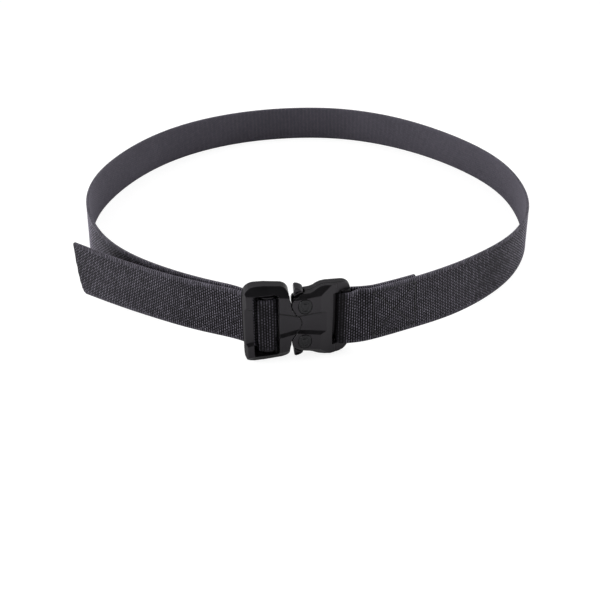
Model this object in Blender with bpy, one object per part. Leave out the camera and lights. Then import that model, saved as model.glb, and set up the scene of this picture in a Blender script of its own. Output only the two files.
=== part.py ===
"""Webbing belt with a two-part quick-release buckle, standing on edge as a fastened loop.

Sizes are in millimetres in the tables below and become metres in at(). Buckle parts are drawn in the
buckle's own axes: x along the belt to the right, w from the flat back towards the viewer, z up from the
middle of the strap. The world has +X right, +Y to the back of the loop and +Z up from the floor.
"""

import math

import bmesh
import bpy
import numpy as np
from mathutils import Vector

MM = 0.001

# Where the buckle's middle stands, so that the whole belt is centred on the origin
BUCKLE_X = -31.29
BUCKLE_BACK_Y = -182.7
BUCKLE_Z = 28.0

# Strap
STRAP_WIDTH = 38.0
STRAP_THICK = 2.4
STRAP_EDGE = 0.6
CLEAR = 0.3
LAYER_STEP = STRAP_THICK + CLEAR

# Buckle, overall
FRONT_W = 11.0
CHANNEL_DEPTH = 1.5
CHANNEL_SIDE = 2.2
FRONT_EASE = 0.35
BACK_EASE = 1.4

# Clip (female part)
CLIP_END_X = 32.2
CLIP_HALF = 26.35
CLIP_CORNER = 6.3
CLIP_SLOT_X = 21.1
CLIP_SLOT_HALF = 19.5
CLIP_FLOOR_X = 24.4
CLIP_FLOOR_W = 1.5
CLIP_END_W = 7.0
FACET_START_X = 13.2
FACET_END_X = 24.0
CAVITY_LOW_W = 3.6
CAVITY_HIGH_W = 7.6
CAVITY_DEEP_X = 13.9
CAVITY_DEEP_HALF = 18.6
SIDE_MOUTH_X = 3.6
PART_LINE_W = 5.6
PART_LINE_WIDTH = 0.4
PART_LINE_DEPTH = 0.35
END_BAR_LEFT_X = 26.2
END_BAR_LOW_W = 3.0
END_BAR_HIGH_W = 6.6

# Adjuster frame (male part)
FRAME_OUT_X = -34.8
FRAME_IN_X = -6.2
FRAME_HALF = 28.0
FRAME_HALF_IN = 27.1
REST_FLAT_X = -21.5
WINDOW_LEFT_X = -28.6
WINDOW_RIGHT_X = -12.55
WINDOW_HALF = 22.8
WINDOW_NOSE_R = 2.6
WINDOW_END_R = 1.2
LEDGE_HALF = 20.2
LEDGE_RIGHT_X = -14.2
LEDGE_W = 1.4
OUTER_BAR_BACK_W = 4.8
TONGUE_HALF = 3.9
TONGUE_LOW_W = 3.9
TONGUE_HIGH_W = 7.3

# Adjuster bar: two half rounds joined by flats
BAR_LEFT_X = -20.9
BAR_RIGHT_X = -17.8
BAR_W = 5.8
BAR_R = 2.2
BAR_HALF = 24.3
FLANGE_R = 3.4
FLANGE_IN = 19.5
FLANGE_OUT = 20.6

# Rivets and levers
RIVET_X = 3.4
RIVET_Z = 13.3
RIVET_R = 2.0
RIVET_HEAD_X = 4.1
RIVET_HEAD_Z = 5.25
RIVET_HEAD_DEPTH = 1.2
RIVET_BACK_R = 3.6
LEVER_LOW_W = 3.9
LEVER_HIGH_W = 7.3
FIN_LOW_W = 1.6
FIN_HIGH_W = 9.0
FIN_SEAT_R = 9.1
FIN_DISH = ((1.2, 23.3), (0.2, 24.1), (-1.3, 24.8), (-2.3, 24.6), (-2.4, 21.5), (-1.0, 22.3))
FIN_DISH_DEPTH = 0.8

# Strap turns: centre x, centre w, radius of the strap's middle
END_TURN = (28.0, 4.8, 3.3)
BAR_TURN = (-17.8, 5.8, 3.7)
OVER_TURN = (-23.4, 7.5, 2.0)
TAIL_TURN = (-27.4, 6.1, 2.0)
TAIL_ANGLE = 36.0

# Waist loop, from the clip round the back to the adjuster: x, w, lean of the top edge towards the left
# of the strap's run (inwards here), lift
WAIST = (
    (31.5, 8.1, 0.5, 9.0),
    (35.0, 8.1, 4.0, 9.0),
    (38.5, 7.9, 6.0, 9.0),
    (44.0, 6.9, 4.3, 8.9),
    (50.0, 5.3, 3.7, 8.8),
    (72.4, -3.6, 4.5, 6.9),
    (106.3, -19.4, 8.0, 3.3),
    (138.5, -39.5, 7.9, 0.6),
    (166.0, -61.4, 5.2, 0.0),
    (190.6, -91.3, 3.6, 0.0),
    (206.4, -123.0, 5.0, 0.0),
    (216.4, -160.0, 8.8, 0.0),
    (219.1, -197.3, 12.5, 0.0),
    (213.5, -231.6, 14.4, 0.0),
    (198.5, -268.4, 14.8, 0.0),
    (178.7, -299.9, 14.0, 0.0),
    (156.3, -325.7, 12.7, 0.0),
    (125.5, -350.4, 11.4, 0.0),
    (93.7, -366.3, 10.7, 0.0),
    (58.9, -374.5, 10.4, 0.0),
    (23.2, -375.4, 10.2, 0.0),
    (-16.2, -369.0, 10.0, 0.0),
    (-49.2, -356.6, 9.7, 0.0),
    (-82.3, -335.7, 9.1, 0.0),
    (-106.8, -312.1, 8.5, 0.0),
    (-128.4, -281.6, 7.6, 0.0),
    (-143.9, -249.3, 6.6, 0.0),
    (-154.3, -212.7, 5.5, 0.0),
    (-156.2, -176.1, 4.5, 0.0),
    (-149.4, -138.5, 3.7, 0.0),
    (-136.4, -105.6, 3.3, 0.0),
    (-116.9, -75.7, 3.1, 1.0),
    (-92.0, -48.0, 3.0, 3.9),
    (-63.0, -23.0, 2.4, 7.4),
    (-50.0, -14.4, 1.6, 8.6),
    (-37.0, -6.9, 0.7, 9.0),
    (-28.0, -0.7, 0.0, 9.0),
    (-23.0, 1.7, 0.0, 9.0),
)

# Free tail outside the waist loop, from the adjuster to its cut end. Its run is the other way, so a
# lean inwards is negative
TAIL = (
    (-37.0, -3.5, 0.0, 9.0),
    (-50.0, -10.7, 0.0, 8.8),
    (-63.0, -17.9, -0.5, 8.2),
    (-90.0, -35.2, -1.5, 7.0),
    (-120.0, -56.8, -4.0, 5.6),
    (-152.3, -82.4, -7.3, 4.0),
)
FOLD_END_X = 83.0
FOLD_JOIN = ((42.0, 4.5, -4.8, 9.0), (36.0, 3.5, -3.3, 9.0), (30.5, 1.5, -0.3, 9.0))

# Cut end of the tail: distance back from the tip, height of the lower edge there
TAIL_END = (
    (9.5, 0.0),
    (7.6, 1.4),
    (6.0, 4.2),
    (3.7, 12.2),
    (1.4, 24.3),
    (0.4, 30.0),
    (0.0, 35.5),
)


def at(x, w, z):
    """Buckle axes in millimetres to the world in metres."""
    return Vector(((BUCKLE_X + x) * MM, (BUCKLE_BACK_Y - w) * MM, (BUCKLE_Z + z) * MM))


def clear_scene():
    for obj in list(bpy.data.objects):
        bpy.data.objects.remove(obj, do_unlink=True)


def material(name, colour, roughness, metallic=0.0):
    mat = bpy.data.materials.new(name)
    mat.use_nodes = True
    shader = mat.node_tree.nodes["Principled BSDF"]
    shader.inputs["Base Color"].default_value = (*colour, 1.0)
    shader.inputs["Roughness"].default_value = roughness
    shader.inputs["Metallic"].default_value = metallic
    mat.diffuse_color = (*colour, 1.0)
    return mat


def make_object(name, points, faces, mat=None, origin=None):
    """A mesh object from world points, its faces turned outwards."""
    origin = origin or Vector((0.0, 0.0, 0.0))
    mesh = bpy.data.meshes.new(name)
    mesh.from_pydata([tuple(Vector(p) - origin) for p in points], [], faces)
    tidy = bmesh.new()
    tidy.from_mesh(mesh)
    bmesh.ops.recalc_face_normals(tidy, faces=tidy.faces)
    tidy.to_mesh(mesh)
    tidy.free()
    obj = bpy.data.objects.new(name, mesh)
    obj.location = origin
    bpy.context.scene.collection.objects.link(obj)
    if mat:
        mesh.materials.append(mat)
    return obj


def stack(name, rings, mat=None, origin=None):
    """A closed solid from equal rings of world points, capped at both ends."""
    count = len(rings[0])
    points = [p for ring in rings for p in ring]
    faces = [tuple(range(count)), tuple((len(rings) - 1) * count + i for i in range(count))]
    for level in range(len(rings) - 1):
        for i in range(count):
            j = (i + 1) % count
            low, high = level * count, (level + 1) * count
            faces.append((low + i, low + j, high + j, high + i))
    return make_object(name, points, faces, mat, origin)


def inset(outline, amount):
    """The outline moved inwards by an amount, corner by corner."""
    pts = np.array(outline, float)
    before, after = np.roll(pts, 1, 0), np.roll(pts, -1, 0)
    area = np.sum(pts[:, 0] * after[:, 1] - after[:, 0] * pts[:, 1])
    sign = 1.0 if area > 0 else -1.0
    one, two = pts - before, after - pts
    one /= np.linalg.norm(one, axis=1)[:, None]
    two /= np.linalg.norm(two, axis=1)[:, None]
    n1 = sign * np.stack([-one[:, 1], one[:, 0]], 1)
    n2 = sign * np.stack([-two[:, 1], two[:, 0]], 1)
    middle = n1 + n2
    middle /= np.linalg.norm(middle, axis=1)[:, None]
    reach = amount / np.maximum(np.sum(middle * n1, 1), 0.5)
    return [tuple(p) for p in pts + middle * reach[:, None]]


def plate(name, outline, low, high, mat=None, edge=0.0, back_edge=None, origin=None):
    """An outline in x and z, thickened from w = low to w = high, with its rims eased by edge."""
    back_edge = edge if back_edge is None else back_edge
    levels = []
    if back_edge:
        levels += [(low, inset(outline, back_edge)), (low + back_edge, outline)]
    else:
        levels += [(low, outline)]
    if edge:
        levels += [(high - edge, outline), (high, inset(outline, edge))]
    else:
        levels += [(high, outline)]
    return stack(name, [[at(x, w, z) for x, z in ring] for w, ring in levels], mat, origin)


def box(name, x, w, z):
    outline = ((x[0], z[0]), (x[1], z[0]), (x[1], z[1]), (x[0], z[1]))
    return plate(name, outline, w[0], w[1])


def corner(centre_x, centre_z, radius, start, end, steps=6):
    """Points on an arc, angles in degrees from +x towards +z."""
    angles = np.radians(np.linspace(start, end, steps + 1))
    return [(centre_x + radius * math.cos(a), centre_z + radius * math.sin(a)) for a in angles]


def mirrored(upper):
    """A closed outline from its upper half, which runs from the right end to the left end."""
    lower = [(x, -z) for x, z in reversed(upper) if abs(z) > 1e-6]
    return list(upper) + lower


def half_space(name, point, normal, size=60.0):
    """A block that fills the side of a plane that the normal points to. Point and normal are (x, w, z)."""
    n = Vector(normal).normalized()
    side = n.orthogonal().normalized()
    other = n.cross(side)
    base = Vector(point)
    quad = [base + side * a * size + other * b * size for a, b in ((-1, -1), (1, -1), (1, 1), (-1, 1))]
    rings = [[at(*q) for q in quad], [at(*(q + n * size)) for q in quad]]
    return stack(name, rings)


def ellipse(x, z, radius_x, radius_z, steps=32):
    angles = np.linspace(0, 2 * math.pi, steps, endpoint=False)
    return [(x + radius_x * math.cos(a), z + radius_z * math.sin(a)) for a in angles]


def apply_tool(target, tool, operation):
    """Cuts or joins a helper solid. The helper stays in the file, hidden from renders."""
    tool.hide_render = True
    tool.display_type = "WIRE"
    change = target.modifiers.new(tool.name, "BOOLEAN")
    change.operation = operation
    change.solver = "EXACT"
    change.object = tool


def cut(target, tool):
    apply_tool(target, tool, "DIFFERENCE")


def join(target, tool):
    apply_tool(target, tool, "UNION")


def stadium(left_x, right_x, middle_w, radius, z, steps=10):
    """The section, at height z, of a bar with half-round long sides that lies along z."""
    right = np.radians(np.linspace(-90, 90, steps + 1))
    left = np.radians(np.linspace(90, 270, steps + 1))
    section = [(right_x + radius * math.cos(a), middle_w + radius * math.sin(a)) for a in right]
    section += [(left_x + radius * math.cos(a), middle_w + radius * math.sin(a)) for a in left]
    return [at(x, w, z) for x, w in section]


def channel(name, near, far):
    """The shallow dished channel: near and far are (x, half width of its floor)."""
    low = FRONT_W - CHANNEL_DEPTH
    high = FRONT_W + 1.0
    spread = CHANNEL_SIDE * (high - low) / CHANNEL_DEPTH
    rings = []
    for x, half in (near, far):
        wide = half + spread
        rings.append([at(x, low, -half), at(x, low, half), at(x, high, wide), at(x, high, -wide)])
    return stack(name, rings)


def make_clip(mat):
    notch = [(1.8, 0.0), (1.7, 1.2), (0.9, 3.8), (-1.8, 7.2), (-4.0, 11.2), (-4.6, 13.0)]
    ear = [(-4.6, 15.6), (-4.1, 17.0), (-2.7, 18.2), (-1.1, 19.7), (1.1, 21.3), (2.8, 21.8)]
    flank = [(6.6, 22.2), (9.0, 23.2), (10.7, 24.4), (12.9, 25.5), (16.0, 26.2)]
    end = corner(CLIP_END_X - CLIP_CORNER, CLIP_HALF - CLIP_CORNER, CLIP_CORNER, 90, 0)
    outline = mirrored(list(reversed(notch + ear + flank + end)))
    clip = plate("clip_body", outline, 0.0, FRONT_W, mat, FRONT_EASE, BACK_EASE)

    # Front: end facet, sloping facet, then the side bevels
    drop = (FRONT_W - CLIP_END_W) / (FACET_END_X - FACET_START_X)
    cut(clip, half_space("cut_clip_slope", (FACET_START_X, FRONT_W, 0.0), (drop, 1.0, 0.0)))
    cut(clip, box("cut_clip_end", (FACET_END_X - 0.8, 50.0), (CLIP_END_W, 30.0), (-40.0, 40.0)))
    for side, word in ((1, "upper"), (-1, "lower")):
        slope = (-0.09, 1.0, side * 0.55)
        cut(clip, half_space(f"cut_clip_bevel_{word}", (13.2, FRONT_W, side * 20.5), slope))
    cut(clip, channel("cut_clip_channel", (-10.0, 3.5), (22.0, 7.9)))

    # Inside: the room for the tongue and levers, open at the front and, beside each fin, at the sides
    room = [
        (CAVITY_DEEP_X, 0.0), (CAVITY_DEEP_X, CAVITY_DEEP_HALF), (SIDE_MOUTH_X + 3.9, CAVITY_DEEP_HALF),
        (SIDE_MOUTH_X, 21.4), (SIDE_MOUTH_X, 40.0), (-12.0, 40.0),
    ]
    cut(clip, plate("cut_clip_cavity", mirrored(room), CAVITY_LOW_W, CAVITY_HIGH_W))

    # The thin line where the front and back halves of the moulding meet
    low, high = PART_LINE_W - PART_LINE_WIDTH / 2, PART_LINE_W + PART_LINE_WIDTH / 2
    line = plate("cut_clip_part_line", inset(outline, -2.0), low, high)
    cut(line, plate("cut_clip_part_core", inset(outline, PART_LINE_DEPTH), low - 1.0, high + 1.0))
    cut(clip, line)

    # Strap end: open between the lugs except for the end bar and, under the slot's inner edge, a floor
    slot = (-CLIP_SLOT_HALF, CLIP_SLOT_HALF)
    cut(clip, box("cut_clip_slot", (CLIP_SLOT_X, 50.0), (CLIP_FLOOR_W, 30.0), slot))
    cut(clip, box("cut_clip_floor", (CLIP_FLOOR_X, 50.0), (-5.0, CLIP_FLOOR_W + 1.0), slot))
    bar_r = (END_BAR_HIGH_W - END_BAR_LOW_W) / 2
    bar_w = (END_BAR_HIGH_W + END_BAR_LOW_W) / 2
    ends = (END_BAR_LEFT_X + bar_r, CLIP_END_X - 0.4 - bar_r)
    join(clip, stack("add_clip_end_bar", [stadium(*ends, bar_w, bar_r, z) for z in (-20.5, 20.5)]))

    # Rivet holes, with a seat for each head
    for side, word in ((1, "upper"), (-1, "lower")):
        hole = ellipse(RIVET_X, side * RIVET_Z, RIVET_R + CLEAR, RIVET_R + CLEAR)
        cut(clip, plate(f"cut_rivet_hole_{word}", hole, -5.0, 30.0))
        seat = ellipse(RIVET_X, side * RIVET_Z, RIVET_BACK_R + CLEAR, RIVET_BACK_R + CLEAR)
        cut(clip, plate(f"cut_rivet_back_{word}", seat, -5.0, 1.2 + CLEAR))
        seat = ellipse(RIVET_X, side * RIVET_Z, RIVET_HEAD_X + CLEAR, RIVET_HEAD_Z + CLEAR)
        cut(clip, plate(f"cut_rivet_front_{word}", seat, FRONT_W - RIVET_HEAD_DEPTH - CLEAR, 30.0))
    return clip


def make_rivet(name, side, mat):
    """Back head and oval front head, both flush in their seats, with a ringed dimple in front."""
    x, z = RIVET_X, side * RIVET_Z
    low = FRONT_W - RIVET_HEAD_DEPTH
    levels = (
        (0.2, RIVET_BACK_R - 0.4, RIVET_BACK_R - 0.4),
        (0.5, RIVET_BACK_R, RIVET_BACK_R),
        (1.2, RIVET_BACK_R, RIVET_BACK_R),
        (1.2, RIVET_R, RIVET_R),
        (low, RIVET_R, RIVET_R),
        (low, RIVET_HEAD_X, RIVET_HEAD_Z),
        (FRONT_W - 0.05, RIVET_HEAD_X, RIVET_HEAD_Z),
        (FRONT_W + 0.2, RIVET_HEAD_X - 0.3, RIVET_HEAD_Z - 0.35),
        (FRONT_W + 0.35, RIVET_HEAD_X - 1.3, RIVET_HEAD_Z - 1.6),
        (FRONT_W + 0.1, RIVET_HEAD_X - 1.7, RIVET_HEAD_Z - 2.2),
        (FRONT_W + 0.1, RIVET_HEAD_X - 2.2, RIVET_HEAD_Z - 2.8),
        (FRONT_W + 0.4, RIVET_HEAD_X - 2.6, RIVET_HEAD_Z - 3.3),
        (FRONT_W + 0.45, RIVET_HEAD_X - 3.4, RIVET_HEAD_Z - 4.3),
    )
    rings = [[at(px, w, pz) for px, pz in ellipse(x, z, a, b)] for w, a, b in levels]
    return stack(name, rings, mat)


def make_lever(name, side, mat):
    """Ring on the rivet, hook before the tongue's shoulder, and a broad thumb fin outside the ears."""
    neck = [(2.4, 21.4), (1.6, 23.2), (-2.4, 23.2), (-2.8, 20.6)]
    inner = [(-2.9, 18.2), (-1.7, 15.2), (-1.3, 13.0), (-0.4, 10.6), (1.4, 8.9), (4.2, 8.0)]
    hook = [(4.9, 6.6), (5.2, 4.5), (8.1, 4.5), (9.6, 5.4), (10.7, 6.6)]
    outer = [(10.0, 9.4), (8.6, 12.6), (8.0, 15.6), (6.2, 17.6), (4.1, 19.2)]
    outline = [(x, side * z) for x, z in neck + inner + hook + outer]
    origin = at(RIVET_X, (LEVER_LOW_W + LEVER_HIGH_W) / 2, side * RIVET_Z)
    lever = plate(name, outline, LEVER_LOW_W, LEVER_HIGH_W, mat, edge=0.3, origin=origin)

    # The fin stands off the ears' edge on an arc about the rivet, and has a dished front
    crest = [(2.3, 23.6), (0.8, 24.8), (-0.7, 25.5), (-2.0, 25.8), (-3.0, 25.3), (-3.3, 24.0)]
    seat = corner(RIVET_X, RIVET_Z, FIN_SEAT_R, 136, 96, 5)
    fin = [(x, side * z) for x, z in crest + seat]
    join(lever, plate(f"add_{name}_fin", fin, FIN_LOW_W, FIN_HIGH_W, edge=0.4))
    dish = [(x, side * z) for x, z in FIN_DISH]
    cut(lever, plate(f"cut_{name}_dish", dish, FIN_HIGH_W - FIN_DISH_DEPTH, 20.0))
    hole = ellipse(RIVET_X, side * RIVET_Z, RIVET_R + CLEAR, RIVET_R + CLEAR)
    cut(lever, plate(f"cut_{name}_hole", hole, 0.0, 20.0))
    return lever


def make_frame(mat):
    nose = [(1.4, 0.0), (1.3, 1.2), (0.5, 3.7), (-2.2, 7.2)]
    nose += [(-4.5, 11.2), (-5.1, 13.2), (-5.2, 15.4), (-5.7, 17.2)]
    inner_corner = corner(FRAME_IN_X - 6.4, FRAME_HALF_IN - 6.4, 6.4, 0, 90)
    outer_corner = corner(FRAME_OUT_X + 7.6, FRAME_HALF - 7.6, 7.6, 90, 180)
    outline = mirrored(nose + inner_corner + [(REST_FLAT_X, FRAME_HALF)] + outer_corner)
    frame = plate("adjuster_frame", outline, 0.0, FRONT_W, mat, FRONT_EASE, BACK_EASE)

    # Front: bevels on the long sides, chamfer at the outer end, channel down the middle
    for side, word in ((1, "upper"), (-1, "lower")):
        slope = (0.083, 1.0, side * 0.65)
        cut(frame, half_space(f"cut_frame_bevel_{word}", (-7.3, FRONT_W, side * 20.2), slope))
    cut(frame, half_space("cut_frame_end", (FRAME_OUT_X + 2.3, FRONT_W, 0.0), (-1.0, 0.85, 0.0)))
    cut(frame, channel("cut_frame_channel", (10.0, 1.9), (-45.0, 15.6)))

    # Window with a ledge behind its short sides and its right side, and room behind the outer bar for the
    # strap's two layers
    window = []
    for start, sx, sz in ((0, 1, 1), (90, -1, 1), (180, -1, -1), (270, 1, -1)):
        edge_x, radius = (WINDOW_RIGHT_X, WINDOW_NOSE_R) if sx > 0 else (WINDOW_LEFT_X, WINDOW_END_R)
        window += corner(edge_x - sx * radius, sz * (WINDOW_HALF - radius), radius, start, start + 90, 4)
    cut(frame, plate("cut_frame_window", window, LEDGE_W, 30.0))
    ledges = (-LEDGE_HALF, LEDGE_HALF)
    cut(frame, box("cut_frame_window_back", (WINDOW_LEFT_X, LEDGE_RIGHT_X), (-5.0, LEDGE_W + 1.0), ledges))
    cut(frame, box("cut_frame_behind", (-50.0, WINDOW_LEFT_X + 1.0), (-5.0, OUTER_BAR_BACK_W), ledges))

    # Seats for the bar's ends
    for side, word in ((1, "upper"), (-1, "lower")):
        reach = (side * (WINDOW_HALF - 2.0), side * (BAR_HALF + CLEAR))
        rings = [stadium(BAR_LEFT_X, BAR_RIGHT_X, BAR_W, BAR_R + CLEAR, z) for z in reach]
        cut(frame, stack(f"cut_bar_seat_{word}", rings))

    # Middle layer: cleared beside the tongue, so that the levers have room
    room_w = (TONGUE_LOW_W - 0.6, TONGUE_HIGH_W + 0.6)
    for side, word in ((1, "upper"), (-1, "lower")):
        low, high = sorted((side * TONGUE_HALF, side * 40.0))
        cut(frame, box(f"cut_frame_middle_{word}", (FRAME_IN_X, 20.0), room_w, (low, high)))

    # Tongue with its arrow head; each shoulder follows an arc about a rivet
    reach = 10.6
    shoulder = []
    for z in (TONGUE_HALF, 4.7, 5.5, 6.2):
        shoulder.append((RIVET_X + math.sqrt(reach ** 2 - (RIVET_Z - z) ** 2), z))
    upper = [(13.4, 0.0), (13.4, 3.8), (12.6, 6.0)] + list(reversed(shoulder)) + [(-9.0, TONGUE_HALF)]
    tongue = upper + [(x, -z) for x, z in reversed(upper) if z > 0]
    join(frame, plate("add_frame_tongue", tongue, TONGUE_LOW_W, TONGUE_HIGH_W))
    return frame


def make_bar(mat):
    """Round-sided bar with a flange on either side of the strap."""
    half = (
        (BAR_HALF, BAR_R), (FLANGE_OUT, BAR_R), (FLANGE_OUT, FLANGE_R - 0.2), (FLANGE_OUT - 0.2, FLANGE_R),
        (FLANGE_IN + 0.2, FLANGE_R), (FLANGE_IN, FLANGE_R - 0.2), (FLANGE_IN, BAR_R),
    )
    levels = [(-z, r) for z, r in half] + list(reversed(half))
    rings = [stadium(BAR_LEFT_X, BAR_RIGHT_X, BAR_W, radius, z) for z, radius in levels]
    return stack("adjuster_bar", rings, mat)


def smooth(table, spacing):
    """A cubic spline with even curvature through the rows of a table, sampled at about the given spacing."""
    rows = np.array(table, float)
    step = np.linalg.norm(np.diff(rows[:, :2], axis=0), axis=1)
    n = len(rows)
    system = np.zeros((n, n))
    right = np.zeros((n, rows.shape[1]))
    system[0, 0] = system[-1, -1] = 1.0
    for i in range(1, n - 1):
        system[i, i - 1], system[i, i], system[i, i + 1] = step[i - 1], 2 * (step[i - 1] + step[i]), step[i]
        right[i] = 6 * ((rows[i + 1] - rows[i]) / step[i] - (rows[i] - rows[i - 1]) / step[i - 1])
    bend = np.linalg.solve(system, right)
    out = []
    for i in range(n - 1):
        parts = max(1, int(round(step[i] / spacing)))
        for k in range(parts):
            a = k / parts
            b = 1.0 - a
            h = step[i]
            value = b * rows[i] + a * rows[i + 1]
            value += ((b ** 3 - b) * bend[i] + (a ** 3 - a) * bend[i + 1]) * h * h / 6
            out.append(value)
    out.append(rows[-1])
    return np.array(out)


def arc_rows(turn, start, end, steps, lift=9.0):
    """Rows of a turn, angles in degrees from +x towards +w."""
    x, w, radius = turn
    angles = np.radians(np.linspace(start, end, steps + 1))
    return np.array([(x + radius * math.cos(a), w + radius * math.sin(a), 0.0, lift) for a in angles])


def inner_layer(outer):
    """The folded layer, one step inside the loop, from its cut end to where the strap leaves the end bar."""
    first = outer[:int(np.argmax(outer[:, 0] > FOLD_END_X))]
    direction = np.gradient(first[:, :2], axis=0)
    direction /= np.linalg.norm(direction, axis=1)[:, None]
    rows = first.copy()
    rows[:, 0] += direction[:, 1] * LAYER_STEP
    rows[:, 1] -= direction[:, 0] * LAYER_STEP
    rows[:, 2] *= -1.0
    far = rows[first[:, 0] >= 50.0]
    return far[::-1]


def strap_rows():
    """The strap's middle line from the fold's cut end to the tail's tip, and its lower edge's height."""
    waist = smooth(WAIST, 9.0)
    fold = inner_layer(waist)
    join_fold = smooth((tuple(fold[-1]),) + FOLD_JOIN, 3.0)
    end_turn = arc_rows(END_TURN, 270, 90, 12)
    bar_turn = arc_rows(BAR_TURN, -90, 90, 12)
    over_turn = arc_rows(OVER_TURN, 90, 180, 8)
    tail_turn = arc_rows(TAIL_TURN, 0, -(90 - TAIL_ANGLE), 6)
    tail = smooth((tuple(tail_turn[-1]),) + TAIL, 7.0)
    rows = np.concatenate([fold[:-1], join_fold, end_turn, waist, bar_turn, over_turn, tail_turn, tail[1:]])

    # Rows just where the cut end's shape needs them
    run = run_of(rows)
    places = run[-1] - np.array([back for back, low in TAIL_END])
    tip = np.stack([np.interp(places, run, rows[:, column]) for column in range(rows.shape[1])], 1)
    lows = np.array([low for back, low in TAIL_END])
    rows = rows[run < places[0] - 2.0]
    return np.concatenate([rows, tip]), np.concatenate([np.zeros(len(rows)), lows])


def run_of(rows):
    """Length along the strap from its first row to each row."""
    return np.concatenate([[0.0], np.cumsum(np.linalg.norm(np.diff(rows[:, :2], axis=0), axis=1))])


def make_strap(mat):
    rows, lows = strap_rows()
    ahead = np.gradient(rows[:, :2], axis=0)
    ahead /= np.linalg.norm(ahead, axis=1)[:, None]
    # Travelling from the clip to the right and round the back, the outside of the loop is on the right hand
    outside = np.stack([-ahead[:, 1], ahead[:, 0]], 1)
    half = STRAP_THICK / 2
    rings = []
    for (x, w, lean, lift), out, low in zip(rows, outside, lows):
        section = (
            (half, low + STRAP_EDGE), (half, STRAP_WIDTH - STRAP_EDGE), (half - STRAP_EDGE, STRAP_WIDTH),
            (STRAP_EDGE - half, STRAP_WIDTH), (-half, STRAP_WIDTH - STRAP_EDGE), (-half, low + STRAP_EDGE),
            (STRAP_EDGE - half, low), (half - STRAP_EDGE, low),
        )
        lift = max(lift, 0.0)
        sin, cos = math.sin(math.radians(lean)), math.cos(math.radians(lean))
        ring = []
        for across, up in section:
            shift = across * cos - up * sin
            height = lift - BUCKLE_Z + up * cos + across * sin + (half - STRAP_EDGE) * abs(sin)
            ring.append(at(x + out[0] * shift, w + out[1] * shift, height))
        rings.append(ring)
    return stack("belt_webbing", rings, mat)


clear_scene()

webbing_black = material("black nylon webbing", (0.022, 0.021, 0.024), 0.85)
clip_black = material("black moulded plastic, clip", (0.016, 0.016, 0.017), 0.42)
frame_black = material("black moulded plastic, frame", (0.016, 0.016, 0.017), 0.42)
bar_black = material("black moulded plastic, bar", (0.02, 0.02, 0.021), 0.45)
lever_upper_black = material("black moulded plastic, upper lever", (0.014, 0.014, 0.015), 0.4)
lever_lower_black = material("black moulded plastic, lower lever", (0.014, 0.014, 0.015), 0.4)
rivet_upper_metal = material("dark rivet metal, upper", (0.09, 0.09, 0.095), 0.35, 0.9)
rivet_lower_metal = material("dark rivet metal, lower", (0.09, 0.09, 0.095), 0.35, 0.9)

make_strap(webbing_black)
make_clip(clip_black)
make_frame(frame_black)
make_bar(bar_black)
make_rivet("clip_rivet_upper", 1, rivet_upper_metal)
make_rivet("clip_rivet_lower", -1, rivet_lower_metal)
make_lever("release_lever_upper", 1, lever_upper_black)
make_lever("release_lever_lower", -1, lever_lower_black)
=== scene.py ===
"""Looks of the webbing belt: the woven strap with its sewn box, the moulded buckle, floor, light and camera.

Tables are in millimetres in the buckle's own axes, as in the part's source: x along the belt to the
right, w from the buckle's flat back towards the viewer, z up from the middle of the strap. The world is
in metres, with +X right, +Y to the back of the loop and +Z up from the floor.
"""

import math

import bmesh
import bpy
import numpy as np
from mathutils import Matrix, Vector


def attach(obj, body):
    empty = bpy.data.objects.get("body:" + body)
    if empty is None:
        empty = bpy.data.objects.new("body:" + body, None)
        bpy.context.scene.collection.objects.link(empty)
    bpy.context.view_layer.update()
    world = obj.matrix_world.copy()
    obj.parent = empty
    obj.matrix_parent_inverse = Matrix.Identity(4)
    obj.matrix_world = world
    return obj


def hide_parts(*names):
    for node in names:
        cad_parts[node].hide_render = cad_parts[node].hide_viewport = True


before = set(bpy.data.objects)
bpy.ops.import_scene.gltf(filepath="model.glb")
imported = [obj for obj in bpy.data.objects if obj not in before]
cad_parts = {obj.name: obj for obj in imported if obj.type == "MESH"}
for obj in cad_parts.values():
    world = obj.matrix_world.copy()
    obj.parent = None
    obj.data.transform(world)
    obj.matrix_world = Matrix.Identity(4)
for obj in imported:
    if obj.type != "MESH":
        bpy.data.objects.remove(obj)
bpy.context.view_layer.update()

MM = 0.001

# Where the origin of the buckle's axes stands in the world
BUCKLE_X = -31.29
BUCKLE_BACK_Y = -182.7
BUCKLE_Z = 28.0

# Strap: its edges are rounded over STRAP_EDGE and fall back by STRAP_EDGE_EASE, and its turns in the
# buckle stand STRAP_LIFT over the floor
STRAP_WIDTH = 38.0
STRAP_THICK = 2.4
STRAP_EDGE = 0.6
STRAP_EDGE_EASE = 0.48
STRAP_LIFT = 9.0
LAYER_STEP = 2.7

# Fineness of the strap's middle line: spacing of its rows, and steps in its turns
PATH_STEP = 0.8
JOIN_STEP = 0.5
SAME_PLACE = 0.02
HALF_TURN_STEPS = 48
QUARTER_TURN_STEPS = 24
TAIL_TURN_STEPS = 20

# Weave: ribs across the strap, each a row of oval floats that is staggered from rib to rib. In the
# selvages, the strap's two edges, the ribs are plain. Nothing goes deeper than DEEPEST
RIB_PITCH = 1.6
RIB_DEPTH = 0.38
FLOATS_ACROSS = 17
FLOAT_PITCH = (STRAP_WIDTH - 2 * STRAP_EDGE) / FLOATS_ACROSS
FLOAT_DEPTH = 0.2
DEEPEST = 0.53
SELVAGE = 2.2
SELVAGE_EASE = 0.9
SELVAGE_RIB = 0.8
SELVAGE_LIGHT = 0.8
OUTER_COLUMNS = 34
INNER_COLUMNS = 17

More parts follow.
